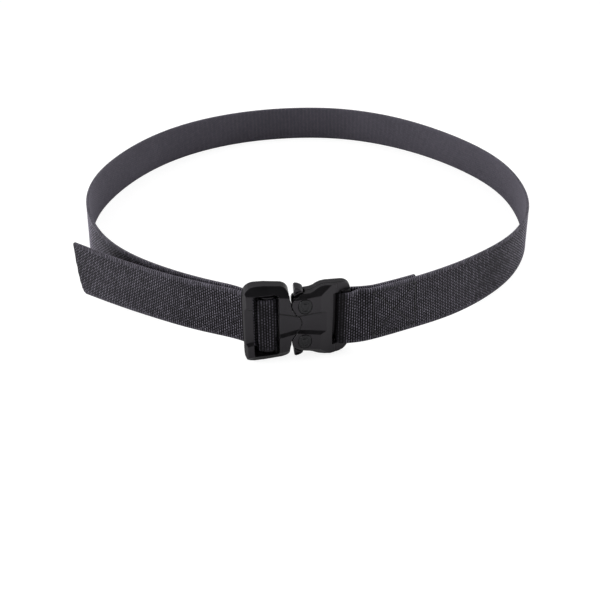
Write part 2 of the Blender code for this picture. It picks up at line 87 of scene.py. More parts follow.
# Strap turns: centre x, centre w, radius of the strap's middle. The last one stops TAIL_ANGLE degrees
# short of a quarter turn
END_TURN = (28.0, 4.8, 3.3)
BAR_TURN = (-17.8, 5.8, 3.7)
OVER_TURN = (-23.4, 7.5, 2.0)
TAIL_TURN = (-27.4, 6.1, 2.0)
TAIL_ANGLE = 36.0

# Waist loop, from the clip round the back to the adjuster: x, w, lean of the top edge, lift
WAIST = (
    (31.5, 8.1, 0.5, 9.0),
    (35.0, 8.1, 4.0, 9.0),
    (38.5, 7.9, 6.0, 9.0),
    (44.0, 6.9, 4.3, 8.9),
    (50.0, 5.3, 3.7, 8.8),
    (72.4, -3.6, 4.5, 6.9),
    (106.3, -19.4, 8.0, 3.3),
    (138.5, -39.5, 7.9, 0.6),
    (166.0, -61.4, 5.2, 0.0),
    (190.6, -91.3, 3.6, 0.0),
    (206.4, -123.0, 5.0, 0.0),
    (216.4, -160.0, 8.8, 0.0),
    (219.1, -197.3, 12.5, 0.0),
    (213.5, -231.6, 14.4, 0.0),
    (198.5, -268.4, 14.8, 0.0),
    (178.7, -299.9, 14.0, 0.0),
    (156.3, -325.7, 12.7, 0.0),
    (125.5, -350.4, 11.4, 0.0),
    (93.7, -366.3, 10.7, 0.0),
    (58.9, -374.5, 10.4, 0.0),
    (23.2, -375.4, 10.2, 0.0),
    (-16.2, -369.0, 10.0, 0.0),
    (-49.2, -356.6, 9.7, 0.0),
    (-82.3, -335.7, 9.1, 0.0),
    (-106.8, -312.1, 8.5, 0.0),
    (-128.4, -281.6, 7.6, 0.0),
    (-143.9, -249.3, 6.6, 0.0),
    (-154.3, -212.7, 5.5, 0.0),
    (-156.2, -176.1, 4.5, 0.0),
    (-149.4, -138.5, 3.7, 0.0),
    (-136.4, -105.6, 3.3, 0.0),
    (-116.9, -75.7, 3.1, 1.0),
    (-92.0, -48.0, 3.0, 3.9),
    (-63.0, -23.0, 2.4, 7.4),
    (-50.0, -14.4, 1.6, 8.6),
    (-37.0, -6.9, 0.7, 9.0),
    (-28.0, -0.7, 0.0, 9.0),
    (-23.0, 1.7, 0.0, 9.0),
)

# Free tail outside the waist loop, from the adjuster to its cut end
TAIL = (
    (-37.0, -3.5, 0.0, 9.0),
    (-50.0, -10.7, 0.0, 8.8),
    (-63.0, -17.9, -0.5, 8.2),
    (-90.0, -35.2, -1.5, 7.0),
    (-120.0, -56.8, -4.0, 5.6),
    (-152.3, -82.4, -7.3, 4.0),
)

# Folded inner layer: x of its cut end, x where it leaves the waist layer, rows from there to the end turn
FOLD_END_X = 80.0
FOLD_NEAR_X = 50.0
FOLD_JOIN = ((42.0, 4.5, -4.8, 9.0), (36.0, 3.5, -3.3, 9.0), (30.5, 1.5, -0.3, 9.0))

# Cut end of the tail: distance back from the tip, height of the lower edge there
TAIL_END = (
    (9.5, 0.0),
    (7.6, 1.4),
    (6.0, 4.2),
    (3.7, 12.2),
    (1.4, 24.3),
    (0.4, 30.0),
    (0.0, 35.5),
)

# Sewn box with its cross: how far each column is from the fold's cut end, and how far the rows are in
BOX_FAR = 2.0
BOX_NEAR = 35.5
BOX_MARGIN = 2.7

# Stitches: length, gap, thread radius, how far they sink in and are flattened, and the dent they press
STITCH_LONG = 2.5
STITCH_GAP = 0.55
STITCH_R = 0.27
STITCH_SINK = 0.1
STITCH_FLAT = 0.8
STITCH_SIDES = 8
STITCH_PRESS = 0.2
STITCH_PRESS_WIDE = 0.9

# One stitch: place along it, share of its radius, rise of its middle in diameters
STITCH_PROFILE = (
    (0.0, 0.55, -0.45),
    (0.12, 0.9, -0.12),
    (0.35, 1.0, 0.05),
    (0.65, 1.0, 0.05),
    (0.88, 0.9, -0.12),
    (1.0, 0.55, -0.45),
)

# The waist layer over the fold is looked for past this run, in this many rows
OVER_RUN = 60.0
OVER_ROWS = 200

# A bend spreads the floats, so that the dark ground shows between them, and is darkened further as
# painted shade. The bend is measured over BEND_REACH on either side, in radians per millimetre of run
BEND_REACH = 1.2
BEND_START = 0.03
BEND_FULL = 0.2
BEND_SPREAD_AND_SHADE = 0.5

# The turn round the clip's end bar is darker still as painted shade, which fades out past it
END_SHADE = 0.85
END_SHADE_FADE = 1.5

# The face towards the loop's middle: how plain its ribs are, how far its gaps are filled, partly as
# plainer weave and partly as painted light, how much darker it is as painted shade, and the even tone of its
# yarn
INSIDE_PLAIN = 0.8
INSIDE_FILL_AND_LIGHT = 0.55
INSIDE_SHADE = 0.42
INSIDE_TONE = 0.42

# Heat-sealed ends and the sewing: how far they reach, and how dark they are
SEAL_REACH = 1.3
SEAL_FADE = (0.1, 0.7)
SEAL_DARK = 0.85
PRESS_REACH = 1.2
PRESS_DARK = 0.4

# Look of a float: half its size and how square its outline is, along and across the strap, in shares
# of a rib's and a float's pitch, and where its colour, lightest in the middle as painted highlight, and its
# height fade out
FLOAT_HALF = (0.29, 0.47)
FLOAT_SQUARE = (2.0, 2.6)
FLOAT_STAGGER = 0.5
FLOAT_FADE = (0.15, 1.0)
FLOAT_DOME = (0.0, 1.2)

# The two plies of a float: slant and half width of the gap between them in the same shares, and its
# painted shade and depth; then how fine the fibres are, and their depth
PLY_SLANT = 0.25
PLY_GAP = 0.07
PLY_SHADE = 0.3
PLY_DEPTH = 0.25
FIBRES_ALONG = 9.0
FIBRES_ACROSS = 2.2
FIBRE_DEPTH = 0.12

# Plain ribs: how far from the edge they take over, in floats, and where each fades into the gap beside it
PLAIN_FROM = 1.0
PLAIN_TO = 0.7
EDGE_RIB_FADE = (0.08, 0.4)
INSIDE_RIB_FADE = (0.2, 0.5)

# Tone of the yarn: what the fibres, each float and the batch add, and the range from dark to light
FIBRE_TONE = 0.45
FLOAT_TONE = 0.3
BATCH_TONE = 0.7
TONE_RANGE = (0.1, 0.75)

# Edges of plastic and metal, lighter from wear and, on the plastic, from painted highlight: rounding in
# metres, cosines between the rounded and the true normal where the lighter edge starts and is full, and how
# strongly it shows on the rivets
PLASTIC_ROUNDING = 0.0004
PLASTIC_EDGE_START = 0.995
RIVET_ROUNDING = 0.00025
RIVET_WEAR_START = 0.99
EDGE_FULL = 0.86
ROUNDING_SAMPLES = 6
RIVET_WEAR = 0.7

# Patches of wear and painted edge highlight on the plastic: noise levels where they start and are full, and
# how much shows at each
WEAR_AND_HIGHLIGHT_PATCHES = (0.35, 0.65, 0.25, 1.0)

# Flow marks and mottle: noise levels where they start and are full, and how much lighter the marks are
MOTTLE_RANGE = (0.3, 0.7)
FLOW_LIGHTER = 1.25

# Roughness: what flow marks, specks, wear and rings change, and the rivet's own range
FLOW_SMOOTHER = 0.03
FLOW_ROUGHER = 0.05
SPECK_ROUGHER = 0.05
WEAR_SMOOTHER = 0.1
RING_ROUGHER = 0.03
RIVET_ROUGHNESS = (0.34, 0.44)

# Thread: how far its twist and its unevenness show in the colour
THREAD_TWIST = 0.7
THREAD_UNEVEN = 0.3

# Rivet heads: centre of the upper one, height of the oval's rings to their width, ring pitch in metres
RIVET_X = 3.4
RIVET_W = 11.0
RIVET_Z = 13.3
RIVET_OVAL = 0.78
RIVET_RING = 0.00022

# Camera, fitted to the photograph's upper view: metres, degrees, focal length and shift in picture
# widths, sensor in millimetres
CAMERA_AT = (-0.07229, -0.5296, 0.282338)
CAMERA_YAW = 6.98534
CAMERA_PITCH = 29.3736
CAMERA_FOCAL = 1.129503
CAMERA_NEAR = 0.01
CAMERA_FAR = 50.0
SENSOR = 36.0
FRAME_SHIFT = -0.10833

# Floor, in metres: its glow towards the camera, reach of the shade round the belt, and how steeply the
# floor's glow in the plastic's mirror image fades there
FLOOR_HALF = 5.0
FLOOR_DROP = 0.0002
FLOOR_GLOW = 0.85
FLOOR_SHADE_REACH = 0.06
FLOOR_SHADE_POWER = 2.0
FLOOR_SHADE_SAMPLES = 8

# World: direction, cosines where it starts to dim and is dimmest, and the level left there
WORLD_FRONT = ((-0.11, -0.83, 0.55), 0.0, 0.6, 0.0)
WORLD_BACK = ((0.1, 0.87, 0.42), 0.55, 0.92, 0.4)
WORLD_FILL = 0.3

# Softboxes: name, place, target, size in metres, power in watts
SOFTBOXES = (
    ("left_softbox", (-1.2, -0.25, 0.45), (0.0, 0.0, 0.03), (1.2, 1.0), 20.0),
    ("right_softbox", (1.2, -0.25, 0.45), (0.0, 0.0, 0.03), (1.2, 1.0), 14.0),
    ("top_softbox", (0.0, 0.5, 1.7), (0.0, 0.1, 0.0), (2.2, 1.8), 14.0),
)

# Colours
# Black of the gaps and creases in the weave, darkened as painted shade
GAP_BLACK_SHADE = (0.0012, 0.0010, 0.0016, 1.0)
YARN_DARK = (0.096, 0.0895, 0.110, 1.0)
# Light end of the yarn's tone, raised as painted sheen on the shiny fibres
YARN_LIGHT_SHEEN = (0.339, 0.316, 0.388, 1.0)
SEAL_BLACK = (0.008, 0.008, 0.009, 1.0)
THREAD_DARK = (0.006, 0.006, 0.007, 1.0)
THREAD_LIGHT = (0.030, 0.029, 0.032, 1.0)
THREAD_MOTTLE = (0.014, 0.013, 0.015, 1.0)
SHEEN_GREY = (0.75, 0.73, 0.8, 1.0)
PLASTIC_BLACK = (0.0034, 0.0033, 0.0036, 1.0)
LEVER_BLACK = (0.0026, 0.0025, 0.0028, 1.0)
# Lighter edge tone of the plastic: wear and painted highlight
PLASTIC_WORN_HIGHLIGHT = (0.030, 0.029, 0.031, 1.0)
PLASTIC_SHINE = (0.96, 0.9, 1.0, 1.0)
RIVET_DARK = (0.016, 0.016, 0.017, 1.0)
RIVET_LIGHT = (0.030, 0.030, 0.032, 1.0)
RIVET_WORN = (0.07, 0.07, 0.073, 1.0)
FLOOR_DARK = (0.29, 0.29, 0.29, 1.0)
FLOOR_LIGHT = (0.32, 0.32, 0.32, 1.0)
WHITE = (1.0, 1.0, 1.0, 1.0)


def at(x, w, z):
    """Buckle axes in millimetres to the world in metres."""
    return Vector(((BUCKLE_X + x) * MM, (BUCKLE_BACK_Y - w) * MM, (BUCKLE_Z + z) * MM))


# Path of the strap

def smooth(table, spacing):
    """A cubic spline with even curvature through the rows of a table, sampled at about the given spacing."""
    rows = np.array(table, float)
    step = np.linalg.norm(np.diff(rows[:, :2], axis=0), axis=1)
    n = len(rows)
    system = np.zeros((n, n))
    right = np.zeros((n, rows.shape[1]))
    system[0, 0] = system[-1, -1] = 1.0
    for i in range(1, n - 1):
        system[i, i - 1], system[i, i], system[i, i + 1] = step[i - 1], 2 * (step[i - 1] + step[i]), step[i]
        right[i] = 6 * ((rows[i + 1] - rows[i]) / step[i] - (rows[i] - rows[i - 1]) / step[i - 1])
    bend = np.linalg.solve(system, right)
    out = []
    for i in range(n - 1):
        h = step[i]
        parts = max(1, int(round(h / spacing)))
        for k in range(parts):
            a = k / parts
            b = 1.0 - a
            value = b * rows[i] + a * rows[i + 1]
            value += ((b ** 3 - b) * bend[i] + (a ** 3 - a) * bend[i + 1]) * h * h / 6
            out.append(value)
    out.append(rows[-1])
    return np.array(out)


def arc_rows(turn, start, end, steps):
    """Rows of a turn, angles in degrees from +x towards +w."""
    x, w, radius = turn
    angles = np.radians(np.linspace(start, end, steps + 1))
    return np.array([(x + radius * math.cos(a), w + radius * math.sin(a), 0.0, STRAP_LIFT) for a in angles])


def run_of(rows):
    """Length along the strap from its first row to each row."""
    return np.concatenate([[0.0], np.cumsum(np.linalg.norm(np.diff(rows[:, :2], axis=0), axis=1))])


def directions(rows):
    """The way ahead and the way to the strap's outer face at each row, in x and w."""
    ahead = np.gradient(rows[:, :2], axis=0)
    ahead /= np.linalg.norm(ahead, axis=1)[:, None]
    return ahead, np.stack([-ahead[:, 1], ahead[:, 0]], 1)


def inner_layer(outer):
    """The folded layer, one step inside the loop, from its cut end towards the end bar."""
    ahead, _ = directions(outer)
    rows = outer.copy()
    rows[:, 0] += ahead[:, 1] * LAYER_STEP
    rows[:, 1] -= ahead[:, 0] * LAYER_STEP
    rows[:, 2] *= -1.0
    end = int(np.argmax(rows[:, 0] > FOLD_END_X))
    rows, outer = rows[:end], outer[:end]
    return rows[outer[:, 0] >= FOLD_NEAR_X][::-1]


def strap_path():
    """The strap's middle line, finely, from the fold's cut end to the tail's tip."""
    waist = smooth(WAIST, PATH_STEP)
    fold = inner_layer(waist)
    join_fold = smooth((tuple(fold[-1]),) + FOLD_JOIN, JOIN_STEP)
    end_turn = arc_rows(END_TURN, 270, 90, HALF_TURN_STEPS)
    bar_turn = arc_rows(BAR_TURN, -90, 90, HALF_TURN_STEPS)
    over_turn = arc_rows(OVER_TURN, 90, 180, QUARTER_TURN_STEPS)
    tail_turn = arc_rows(TAIL_TURN, 0, TAIL_ANGLE - 90, TAIL_TURN_STEPS)
    tail = smooth((tuple(tail_turn[-1]),) + TAIL, PATH_STEP)
    rows = np.concatenate([fold[:-1], join_fold, end_turn, waist, bar_turn, over_turn, tail_turn, tail[1:]])
    step = np.linalg.norm(np.diff(rows[:, :2], axis=0), axis=1)
    return rows[np.concatenate([[True], step > SAME_PLACE])]


class Strap:
    """The strap as a map from (run, height, across) in millimetres to the world."""

    def __init__(self):
        self.rows = strap_path()
        self.run = run_of(self.rows)
        self.length = float(self.run[-1])
        ahead, self.outside = directions(self.rows)
        heading = np.unwrap(np.arctan2(ahead[:, 1], ahead[:, 0]))
        before, after = (np.interp(self.run + d, self.run, heading) for d in (-BEND_REACH, BEND_REACH))
        self.bend = np.abs(after - before) / (2 * BEND_REACH)
        x, w, radius = END_TURN
        past_turn = np.hypot(self.rows[:, 0] - x, self.rows[:, 1] - w - radius)
        self.end_run = self.run[int(np.argmin(past_turn))]

    def along(self, run, values):
        """Values given at the strap's rows, at other runs."""
        return np.interp(run, self.run, values)

    def place(self, run, up, across):
        """World points, in metres, for equal arrays of run, height across the strap, and side."""
        x, w, lean, lift = (self.along(run, self.rows[:, k]) for k in range(4))
        out_x, out_w = (self.along(run, self.outside[:, k]) for k in range(2))
        size = np.hypot(out_x, out_w)
        sin, cos = np.sin(np.radians(lean)), np.cos(np.radians(lean))
        shift = across * cos - up * sin
        rise = (STRAP_THICK / 2 - STRAP_EDGE) * np.abs(sin)
        px = BUCKLE_X + x + out_x / size * shift
        py = BUCKLE_BACK_Y - (w + out_w / size * shift)
        pz = np.maximum(lift, 0.0) + up * cos + across * sin + rise
        return np.stack([px * MM, py * MM, pz * MM], -1)


# Sewn box, in run and height on the strap

def box_lines(strap):
    """The box's sides and its cross on the folded layer, and the same on the waist layer over it."""
    low, high = BOX_MARGIN, STRAP_WIDTH - BOX_MARGIN
    first = int(np.argmax(strap.run > OVER_RUN))
    gap = np.hypot(*(strap.rows[first:first + OVER_ROWS, :2] - strap.rows[0, :2]).T)
    over = float(strap.run[first + int(np.argmin(gap))])
    lines = []
    for far, near in ((BOX_FAR, BOX_NEAR), (over - BOX_FAR, over - BOX_NEAR)):
        corners = ((far, low), (far, high), (near, high), (near, low))
        lines += [(corners[i], corners[(i + 1) % 4]) for i in range(4)]
        lines += [(corners[0], corners[2]), (corners[1], corners[3])]
    return lines


def distance_to_lines(run, up, lines):
    """Distance in millimetres from each point of the strap to the nearest stitch line."""
    near = np.full(run.shape, 1e6)
    for (r0, u0), (r1, u1) in lines:
        along_r, along_u = r1 - r0, u1 - u0
        length2 = along_r ** 2 + along_u ** 2
        t = np.clip(((run - r0) * along_r + (up - u0) * along_u) / length2, 0.0, 1.0)
        near = np.minimum(near, np.hypot(run - r0 - t * along_r, up - u0 - t * along_u))
    return near


# Meshes

def mesh_object(name, points, faces, mat):
    """A new smooth-shaded object in the scene."""
    mesh = bpy.data.meshes.new(name)
    mesh.from_pydata(points, [], faces)
    mesh.polygons.foreach_set("use_smooth", [True] * len(mesh.polygons))
    mesh.materials.append(mat)
    obj = bpy.data.objects.new(name, mesh)
    bpy.context.scene.collection.objects.link(obj)
    return obj


def point_values(obj, name, values):
    """A named value at each point of a mesh, for its material to read."""
    layer = obj.data.attributes.new(name, "FLOAT", "POINT")
    layer.data.foreach_set("value", np.ravel(values))


def relief(run, up, lines, floats):
    """How far the weave lies below the strap's full thickness. floats is 0 where only ribs are wanted."""
    rib = 0.5 + 0.5 * np.cos(2 * math.pi * run / RIB_PITCH)
    number = np.round(run / RIB_PITCH)
    phase = 2 * math.pi * (up - STRAP_EDGE) / FLOAT_PITCH + math.pi * number
    body = 0.5 + 0.5 * np.cos(phase) * floats
    edge = np.minimum(up, STRAP_WIDTH - up)
    inner = np.clip((edge - SELVAGE) / SELVAGE_EASE + 0.5, 0.0, 1.0)
    depth = RIB_DEPTH * (1 - rib) * (SELVAGE_RIB + (1 - SELVAGE_RIB) * inner)
    depth = depth + FLOAT_DEPTH * rib * (1 - body) * inner
    press = np.clip(1.0 - distance_to_lines(run, up, lines) / STITCH_PRESS_WIDE, 0.0, 1.0)
    return np.minimum(depth + STITCH_PRESS * press, DEEPEST)


def make_webbing(strap, lines, mat):
    """One closed mesh of the whole strap, with ribs and floats in its shape."""
    count = int(strap.length / (RIB_PITCH / 2)) + 1
    run = np.linspace(0.0, strap.length, count)
    cut_back, cut_low = np.array(TAIL_END).T
    low = np.interp(strap.length - run, cut_back[::-1], cut_low[::-1])
    half = STRAP_THICK / 2

    def columns(number):
        t = np.linspace(0.0, 1.0, number + 1)[None, :]
        bottom = low[:, None] + STRAP_EDGE
        return bottom + (STRAP_WIDTH - STRAP_EDGE - bottom) * t

    outer_up, inner_up = columns(OUTER_COLUMNS), columns(INNER_COLUMNS)[:, ::-1]
    outer_run = np.broadcast_to(run[:, None], outer_up.shape)
    inner_run = np.broadcast_to(run[:, None], inner_up.shape)
    outer_side = half - relief(outer_run, outer_up, lines, 1.0)
    inner_side = -half + relief(inner_run, inner_up, lines, 0.0)
    top = np.full((count, 1), STRAP_WIDTH)
    bottom = low[:, None]
    side = np.full((count, 1), half - STRAP_EDGE_EASE)
    up = np.concatenate([outer_up, top, top, inner_up, bottom, bottom], 1)
    across = np.concatenate([outer_side, side, -side, inner_side, -side, side], 1)
    runs = np.broadcast_to(run[:, None], up.shape)
    ring = up.shape[1]
    points = strap.place(runs.ravel(), up.ravel(), across.ravel())

    i = np.arange(count - 1)[:, None] * ring
    j = np.arange(ring)[None, :]
    after = (j + 1) % ring
    quads = np.stack([i + j, i + after, i + ring + after, i + ring + j], -1).reshape(-1, 4)
    faces = quads.tolist()
    faces.append(list(range(ring))[::-1])
    faces.append([(count - 1) * ring + k for k in range(ring)])
    obj = mesh_object("webbing", points.tolist(), faces, mat)
    turn_outwards(obj)

    # Texture coordinates that count ribs along the strap and floats across it
    layer = obj.data.uv_layers.new(name="weave")
    corner_vertex = np.empty(len(obj.data.loops), int)
    obj.data.loops.foreach_get("vertex_index", corner_vertex)
    texture = np.stack([runs.ravel() / RIB_PITCH, (up.ravel() - STRAP_EDGE) / FLOAT_PITCH], 1)
    layer.data.foreach_set("uv", texture[corner_vertex].ravel())

    # How near each point is to a heat-sealed cut end, and to the sewing
    to_tip = strap.length - runs - np.interp(up, cut_low, cut_back)
    to_end = np.abs(np.minimum(runs, to_tip))
    to_sewing = distance_to_lines(runs, up, lines)
    point_values(obj, "seal", np.clip(1.0 - to_end / SEAL_REACH, 0.0, 1.0))
    point_values(obj, "pressed", np.clip(1.0 - to_sewing / PRESS_REACH, 0.0, 1.0))

    # How much darker a tight bend is, from the spread floats and painted shade, and the painted shade in the
    # turn round the clip's end bar
    bend = strap.along(run, strap.bend)
    spread_and_shade = BEND_SPREAD_AND_SHADE * np.clip((bend - BEND_START) / (BEND_FULL - BEND_START), 0.0, 1.0)
    past_end = run - strap.end_run
    in_turn = past_end > -math.pi * END_TURN[2]
    end_shade = END_SHADE * np.clip(1.0 - past_end / END_SHADE_FADE, 0.0, 1.0) * in_turn
    point_values(obj, "spread_and_shade", np.broadcast_to(np.maximum(spread_and_shade, end_shade)[:, None], up.shape))

    # 1 on the face towards the loop's middle, which is the world's origin
    inwards_x = -BUCKLE_X - strap.along(run, strap.rows[:, 0])
    inwards_w = BUCKLE_BACK_Y - strap.along(run, strap.rows[:, 1])
    inwards_x = inwards_x * strap.along(run, strap.outside[:, 0])
    inwards_w = inwards_w * strap.along(run, strap.outside[:, 1])
    inside = np.sign(inwards_x + inwards_w)[:, None] * np.sign(across)
    point_values(obj, "inside", np.clip(inside, 0.0, 1.0))
    return obj


def turn_outwards(obj):
    """Faces turned to point out of the solid."""
    solid = bmesh.new()
    solid.from_mesh(obj.data)
    bmesh.ops.recalc_face_normals(solid, faces=solid.faces)
    solid.to_mesh(obj.data)
    solid.free()


def make_stitches(strap, lines, mat):
    """Thread over the face of both layers: each stitch rises out of the cloth and goes back in."""
    surface = STRAP_THICK / 2 - STITCH_SINK
    sides = STITCH_SIDES
    points, faces = [], []
    for (r0, u0), (r1, u1) in lines:
        length = math.hypot(r1 - r0, u1 - u0)
        number = max(1, int(round(length / (STITCH_LONG + STITCH_GAP))))
        step = length / number
        along = np.array([(r1 - r0) / length, (u1 - u0) / length])
        aside = np.array([-along[1], along[0]])
        for k in range(number):
            start = k * step + STITCH_GAP / 2
            first = len(points)
            for t, wide, rise in STITCH_PROFILE:
                centre = np.array([r0, u0]) + along * (start + t * (step - STITCH_GAP))
                radius = STITCH_R * wide
                for n in range(sides):
                    angle = 2 * math.pi * n / sides
                    spot = centre + aside * radius * math.cos(angle)
                    height = surface + rise * STITCH_R * 2 + radius * STITCH_FLAT * math.sin(angle)
                    points.append((spot[0], spot[1], height))
            levels = [first + level * sides for level in range(len(STITCH_PROFILE))]
            for low, high in zip(levels, levels[1:]):
                for n in range(sides):
                    m = (n + 1) % sides
                    faces.append((low + n, low + m, high + m, high + n))
            faces.append(tuple(levels[0] + n for n in reversed(range(sides))))
            faces.append(tuple(levels[-1] + n for n in range(sides)))
    world = strap.place(*np.array(points).T)
    obj = mesh_object("box_stitching", world.tolist(), faces, mat)
    turn_outwards(obj)
    return obj


# Shader nodes

class Nodes:
    """The node tree of a material or of the world, built one node at a time."""

    def __init__(self, owner, shader="Principled BSDF"):
        owner.use_nodes = True
        self.owner = owner
        self.tree = owner.node_tree
        self.shader = self.tree.nodes[shader]

    def add(self, kind, inputs=None, **settings):
        """A new node. inputs are values or links for its sockets, settings are its own properties."""
        node = self.tree.nodes.new(kind)
        for key, value in settings.items():
            setattr(node, key, value)
        for key, value in (inputs or {}).items():
            self.put(node.inputs[key], value)
        return node

    def put(self, socket, value):
        if isinstance(value, bpy.types.NodeSocket):
            self.tree.links.new(value, socket)
        else:
            socket.default_value = value

    def where(self):
        """Place in the object's own axes, in metres."""
        return self.add("ShaderNodeTexCoord").outputs["Object"]

    def point_value(self, name):
        return self.add("ShaderNodeAttribute", attribute_name=name).outputs["Fac"]

    def math(self, operation, *values):
        return self.add("ShaderNodeMath", dict(enumerate(values)), operation=operation).outputs[0]

    def vector_math(self, operation, *values):
        """A dot product and a length come out as a number, the others as a vector."""
        node = self.add("ShaderNodeVectorMath", dict(enumerate(values)), operation=operation)
        return node.outputs["Value" if operation in ("DOT_PRODUCT", "LENGTH") else "Vector"]

    def pair(self, one, two):
        """A vector of two numbers."""
        return self.add("ShaderNodeCombineXYZ", {0: one, 1: two}).outputs[0]

    def mix(self, factor, one, two):
        """From one colour to another."""
        return self.add_mix("RGBA", {0: factor, 6: one, 7: two}).outputs[2]

    def blend(self, factor, one, two):
        """From one number to another."""
        return self.add_mix("FLOAT", {0: factor, 2: one, 3: two}).outputs[0]

    def add_mix(self, kind, inputs):
        return self.add("ShaderNodeMix", inputs, data_type=kind)

    def ramp(self, value, low, high, to_low=0.0, to_high=1.0):
        """Eases from to_low, where the value is low, to to_high, where it is high."""
        inputs = dict(enumerate((value, low, high, to_low, to_high)))
        return self.add("ShaderNodeMapRange", inputs, interpolation_type="SMOOTHSTEP").outputs[0]

    def noise(self, where, scale, detail=2.0, rough=0.5):
        inputs = {"Vector": where, "Scale": scale, "Detail": detail, "Roughness": rough}
        return self.add("ShaderNodeTexNoise", inputs).outputs[0]

    def edges(self, rounding, wear_start):
        """The normal over rounded edges, and an edge mask, from 0 on a flat face to 1 on an edge."""
        rounded = self.add("ShaderNodeBevel", {"Radius": rounding}, samples=ROUNDING_SAMPLES).outputs[0]
        true_normal = self.add("ShaderNodeNewGeometry").outputs["Normal"]
        flat = self.vector_math("DOT_PRODUCT", rounded, true_normal)
        return rounded, self.ramp(flat, wear_start, EDGE_FULL)

    def bump(self, height, strength, distance, normal=None):
        inputs = {"Height": height, "Strength": strength, "Distance": distance}
        if normal is not None:
            inputs["Normal"] = normal
        return self.add("ShaderNodeBump", inputs).outputs[0]

    def set(self, **sockets):
        """Values or links for the shader's own sockets. An underscore stands for a space."""
        for name, value in sockets.items():
            self.put(self.shader.inputs[name.replace("_", " ")], value)


def webbing_material():
    """Oval yarn floats, lightened as painted sheen, over gaps blackened as painted shade, staggered rib by
    rib; plain ribs in both edges and inside the loop.
    """
    n = Nodes(bpy.data.materials.new("black nylon webbing"))
    weave = n.add("ShaderNodeUVMap", uv_map="weave").outputs[0]
    split = n.add("ShaderNodeSeparateXYZ", {0: weave})
    along, across = split.outputs[0], split.outputs[1]
    inside = n.point_value("inside")
    plain = n.math("MULTIPLY", inside, INSIDE_PLAIN)

    # Place inside one float: along and across the strap, from -0.5 to 0.5
    rib_number = n.math("ROUND", along)
    in_rib = n.math("SUBTRACT", along, rib_number)
    shifted = n.math("ADD", across, n.math("MULTIPLY", rib_number, FLOAT_STAGGER))
    float_number = n.math("ROUND", shifted)
    in_float = n.math("SUBTRACT", shifted, float_number)
    parts = []
    for place, half, square in zip((in_rib, in_float), FLOAT_HALF, FLOAT_SQUARE):
        parts.append(n.math("POWER", n.math("ABSOLUTE", n.math("DIVIDE", place, half)), square))
    oval = n.math("ADD", *parts)
    # The float's colour is lightest in its middle and fades into the gap: painted highlight on its dome
    body = n.ramp(oval, *FLOAT_FADE, 1.0, 0.0)
    dome = n.ramp(oval, *FLOAT_DOME, 1.0, 0.0)

    # Two plies lie side by side in each float, twisted a little
    slant = n.math("MULTIPLY_ADD", in_float, PLY_SLANT, in_rib)
    ply = n.ramp(n.math("ABSOLUTE", slant), 0.0, PLY_GAP)
    fibre_place = n.pair(n.math("MULTIPLY", along, FIBRES_ALONG), n.math("MULTIPLY", across, FIBRES_ACROSS))
    fibre = n.noise(fibre_place, scale=3.0, detail=3.0, rough=0.6)

    # Edges: the ribs run on plain, round the strap's side
    from_rib = n.math("ABSOLUTE", in_rib)
    from_middle = n.math("ABSOLUTE", n.math("SUBTRACT", across, FLOATS_ACROSS / 2))
    selvage = n.ramp(from_middle, FLOATS_ACROSS / 2 - PLAIN_FROM, FLOATS_ACROSS / 2 - PLAIN_TO)
    body = n.blend(selvage, body, n.ramp(from_rib, *EDGE_RIB_FADE, SELVAGE_LIGHT, 0.0))

    # The loop's inner face shows plain ribs, with less of the dark ground between them: partly plainer weave,
    # partly painted light
    body = n.blend(plain, body, n.ramp(from_rib, *INSIDE_RIB_FADE, 1.0, INSIDE_FILL_AND_LIGHT))

    # Colour: batch of yarn, each float and each fibre a little different, and even on the inner face
    batch = n.math("SUBTRACT", n.noise(n.where(), scale=14.0, detail=3.0), 0.5)
    inputs = {"Vector": n.pair(rib_number, float_number)}
    each = n.add("ShaderNodeTexWhiteNoise", inputs, noise_dimensions="2D").outputs[0]
    tone = n.math("ADD", n.math("MULTIPLY", fibre, FIBRE_TONE), n.math("MULTIPLY", each, FLOAT_TONE))
    tone = n.math("ADD", tone, n.math("MULTIPLY", batch, BATCH_TONE))
    tone = n.blend(plain, tone, INSIDE_TONE)
    yarn = n.mix(n.ramp(tone, *TONE_RANGE), YARN_DARK, YARN_LIGHT_SHEEN)
    # Painted shade in the crease between the two plies
    between_plies = n.math("SUBTRACT", 1.0, ply)
    ply_shade = n.math("MULTIPLY_ADD", plain, -PLY_SHADE, PLY_SHADE)
    yarn = n.mix(n.math("MULTIPLY", between_plies, ply_shade), yarn, GAP_BLACK_SHADE)
    # Painted sheen on the floats over painted shade in the gaps between them
    colour = n.mix(body, GAP_BLACK_SHADE, yarn)

    # Sealed ends and sewing are darker; bends from spread floats and painted shade, the end-bar turn and the
    # inner face from painted shade
    colour = n.mix(n.ramp(n.point_value("seal"), *SEAL_FADE, 0.0, SEAL_DARK), colour, SEAL_BLACK)
    colour = n.mix(n.math("MULTIPLY", n.point_value("pressed"), PRESS_DARK), colour, GAP_BLACK_SHADE)
    # Painted shade in bends, over the spread floats, and round the clip's end bar
    colour = n.mix(n.point_value("spread_and_shade"), colour, GAP_BLACK_SHADE)
    # Painted shade over the whole inner face of the loop
    colour = n.mix(n.math("MULTIPLY", inside, INSIDE_SHADE), colour, GAP_BLACK_SHADE)

    height = n.math("MULTIPLY", dome, n.math("MULTIPLY_ADD", ply, PLY_DEPTH, 1.0 - PLY_DEPTH))
    height = n.math("ADD", height, n.math("MULTIPLY", fibre, FIBRE_DEPTH))
    normal = n.bump(height, strength=0.55, distance=0.0003)
    n.set(Base_Color=colour, Roughness=0.62, Normal=normal, Specular_IOR_Level=0.1)
    n.set(Sheen_Weight=0.03, Sheen_Roughness=0.4, Sheen_Tint=SHEEN_GREY)
    return n.owner


